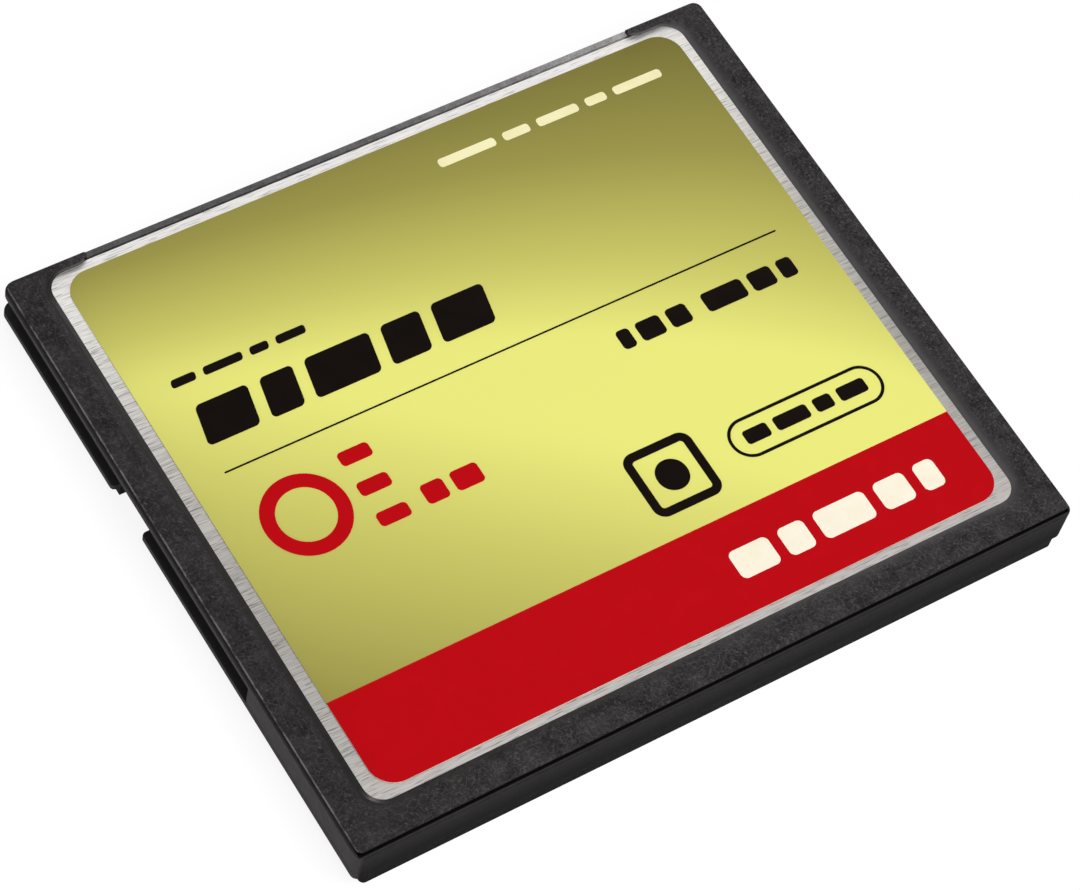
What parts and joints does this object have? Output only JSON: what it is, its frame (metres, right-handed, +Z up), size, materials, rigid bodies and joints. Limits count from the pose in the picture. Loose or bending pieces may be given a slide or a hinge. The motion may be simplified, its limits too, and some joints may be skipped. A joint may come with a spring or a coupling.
{
  "type": "compact flash card",
  "caption": "Thin rectangular memory card with a two-row pin socket along one edge, guide grooves in its sides and a recessed label under a raised plastic rim.",
  "frame": {"origin": "middle of the card's footprint, on the plane it lies on with its label up", "axes": "+X along the long side, +Y towards the socket edge, +Z up through the label"},
  "size_m": [0.0428, 0.0364, 0.0033],
  "materials": {
    "rim_plastic": "fine grained moulded plastic, charcoal",
    "frame_plastic": "smooth moulded plastic, charcoal",
    "plate_steel": "brushed along the long side",
    "label_film": "printed satin film, gold and red fields",
    "socket_plastic": "glass-filled moulding, dark grey",
    "contact_metal": "gold-plated spring strip",
    "board_laminate": "green solder resist on laminate",
    "chip_resin": "black moulding resin",
    "lead_metal": "tinned leads",
    "crystal_can": "satin metal can",
    "capacitor_ceramic": "fired ceramic, tan",
    "resistor_body": "dark glazed body",
    "film_plastic": "amber insulating film"
  },
  "bodies": {
    "root": {"top_cover_rim": "rim_plastic", "main_frame": "frame_plastic", "bottom_cover_rim": "rim_plastic", "top_cover_plate": "plate_steel", "bottom_cover_plate": "plate_steel", "front_label": "label_film", "connector_housing": "socket_plastic", "contact_row_upper": "contact_metal", "contact_row_lower": "contact_metal", "circuit_board": "board_laminate", "memory_chip_upper": "chip_resin", "memory_chip_lower": "chip_resin", "memory_leads_upper": "lead_metal", "memory_leads_lower": "lead_metal", "controller_chip": "chip_resin", "clock_crystal": "crystal_can", "voltage_regulator": "chip_resin", "regulator_leads": "lead_metal", "bypass_capacitors": "capacitor_ceramic", "bulk_capacitors": "capacitor_ceramic", "chip_resistors": "resistor_body", "insulating_film_upper": "film_plastic", "insulating_film_lower": "film_plastic"}
  },
  "joints": []
}
